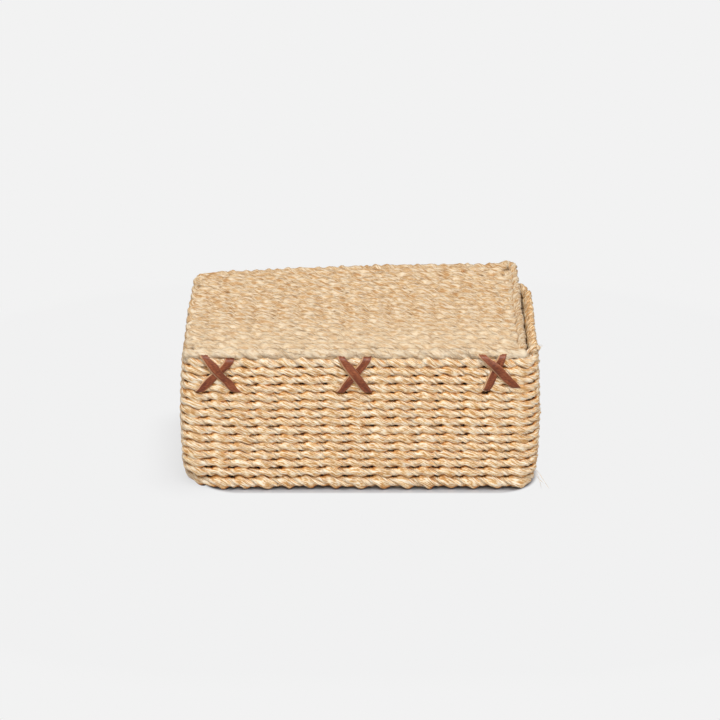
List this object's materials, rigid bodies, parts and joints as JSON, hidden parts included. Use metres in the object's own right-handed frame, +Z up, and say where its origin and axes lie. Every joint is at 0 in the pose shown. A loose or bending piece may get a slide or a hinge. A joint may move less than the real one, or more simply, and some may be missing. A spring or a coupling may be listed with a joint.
{
  "type": "woven napkin holder",
  "caption": "Low rectangular box of twined straw with a flat woven lid, hinged along the front edge by crossed leather laces, for folded guest napkins.",
  "frame": {"origin": "under the middle of the base, on the surface that the box stands on", "axes": "+Z up, +X along the length to the right, the laced front edge faces -Y"},
  "size_m": [0.222, 0.1282, 0.0997],
  "materials": {
    "straw": "matte twisted straw, fibrous",
    "lid_straw": "matte twisted straw, paler and more worn",
    "stake_straw": "matte, stiff straw cord",
    "lace_leather": "smooth satin with raw cut edges"
  },
  "bodies": {
    "box": {"outer_strand_01": "straw", "outer_strand_02": "straw", "outer_strand_03": "straw", "outer_strand_04": "straw", "outer_strand_05": "straw", "outer_strand_06": "straw", "outer_strand_07": "straw", "outer_strand_08": "straw", "outer_strand_09": "straw", "outer_strand_10": "straw", "outer_strand_11": "straw", "outer_strand_12": "straw", "outer_strand_13": "straw", "outer_strand_14": "straw", "outer_strand_15": "straw", "inner_strand_02": "straw", "inner_strand_03": "straw", "inner_strand_04": "straw", "inner_strand_05": "straw", "inner_strand_06": "straw", "inner_strand_07": "straw", "inner_strand_08": "straw", "inner_strand_09": "straw", "inner_strand_10": "straw", "inner_strand_11": "straw", "inner_strand_12": "straw", "inner_strand_13": "straw", "inner_strand_14": "straw", "inner_strand_15": "straw", "rim_border": "straw", "box_stakes": "stake_straw", "base_weft_lower": "straw", "base_weft_upper": "straw", "lace_left": "lace_leather", "lace_middle": "lace_leather", "lace_right": "lace_leather"},
    "lid": {"lid_weft_lower": "lid_straw", "lid_weft_upper": "lid_straw", "lid_border": "straw", "lid_hinge_cord": "straw"}
  },
  "joints": [
    {"name": "lid_hinge", "type": "hinge", "parent": "box", "child": "lid", "pos_m": [0, -0.0592, 0.0948], "axis": [1, 0, 0], "range_deg": [0, 180]}
  ]
}
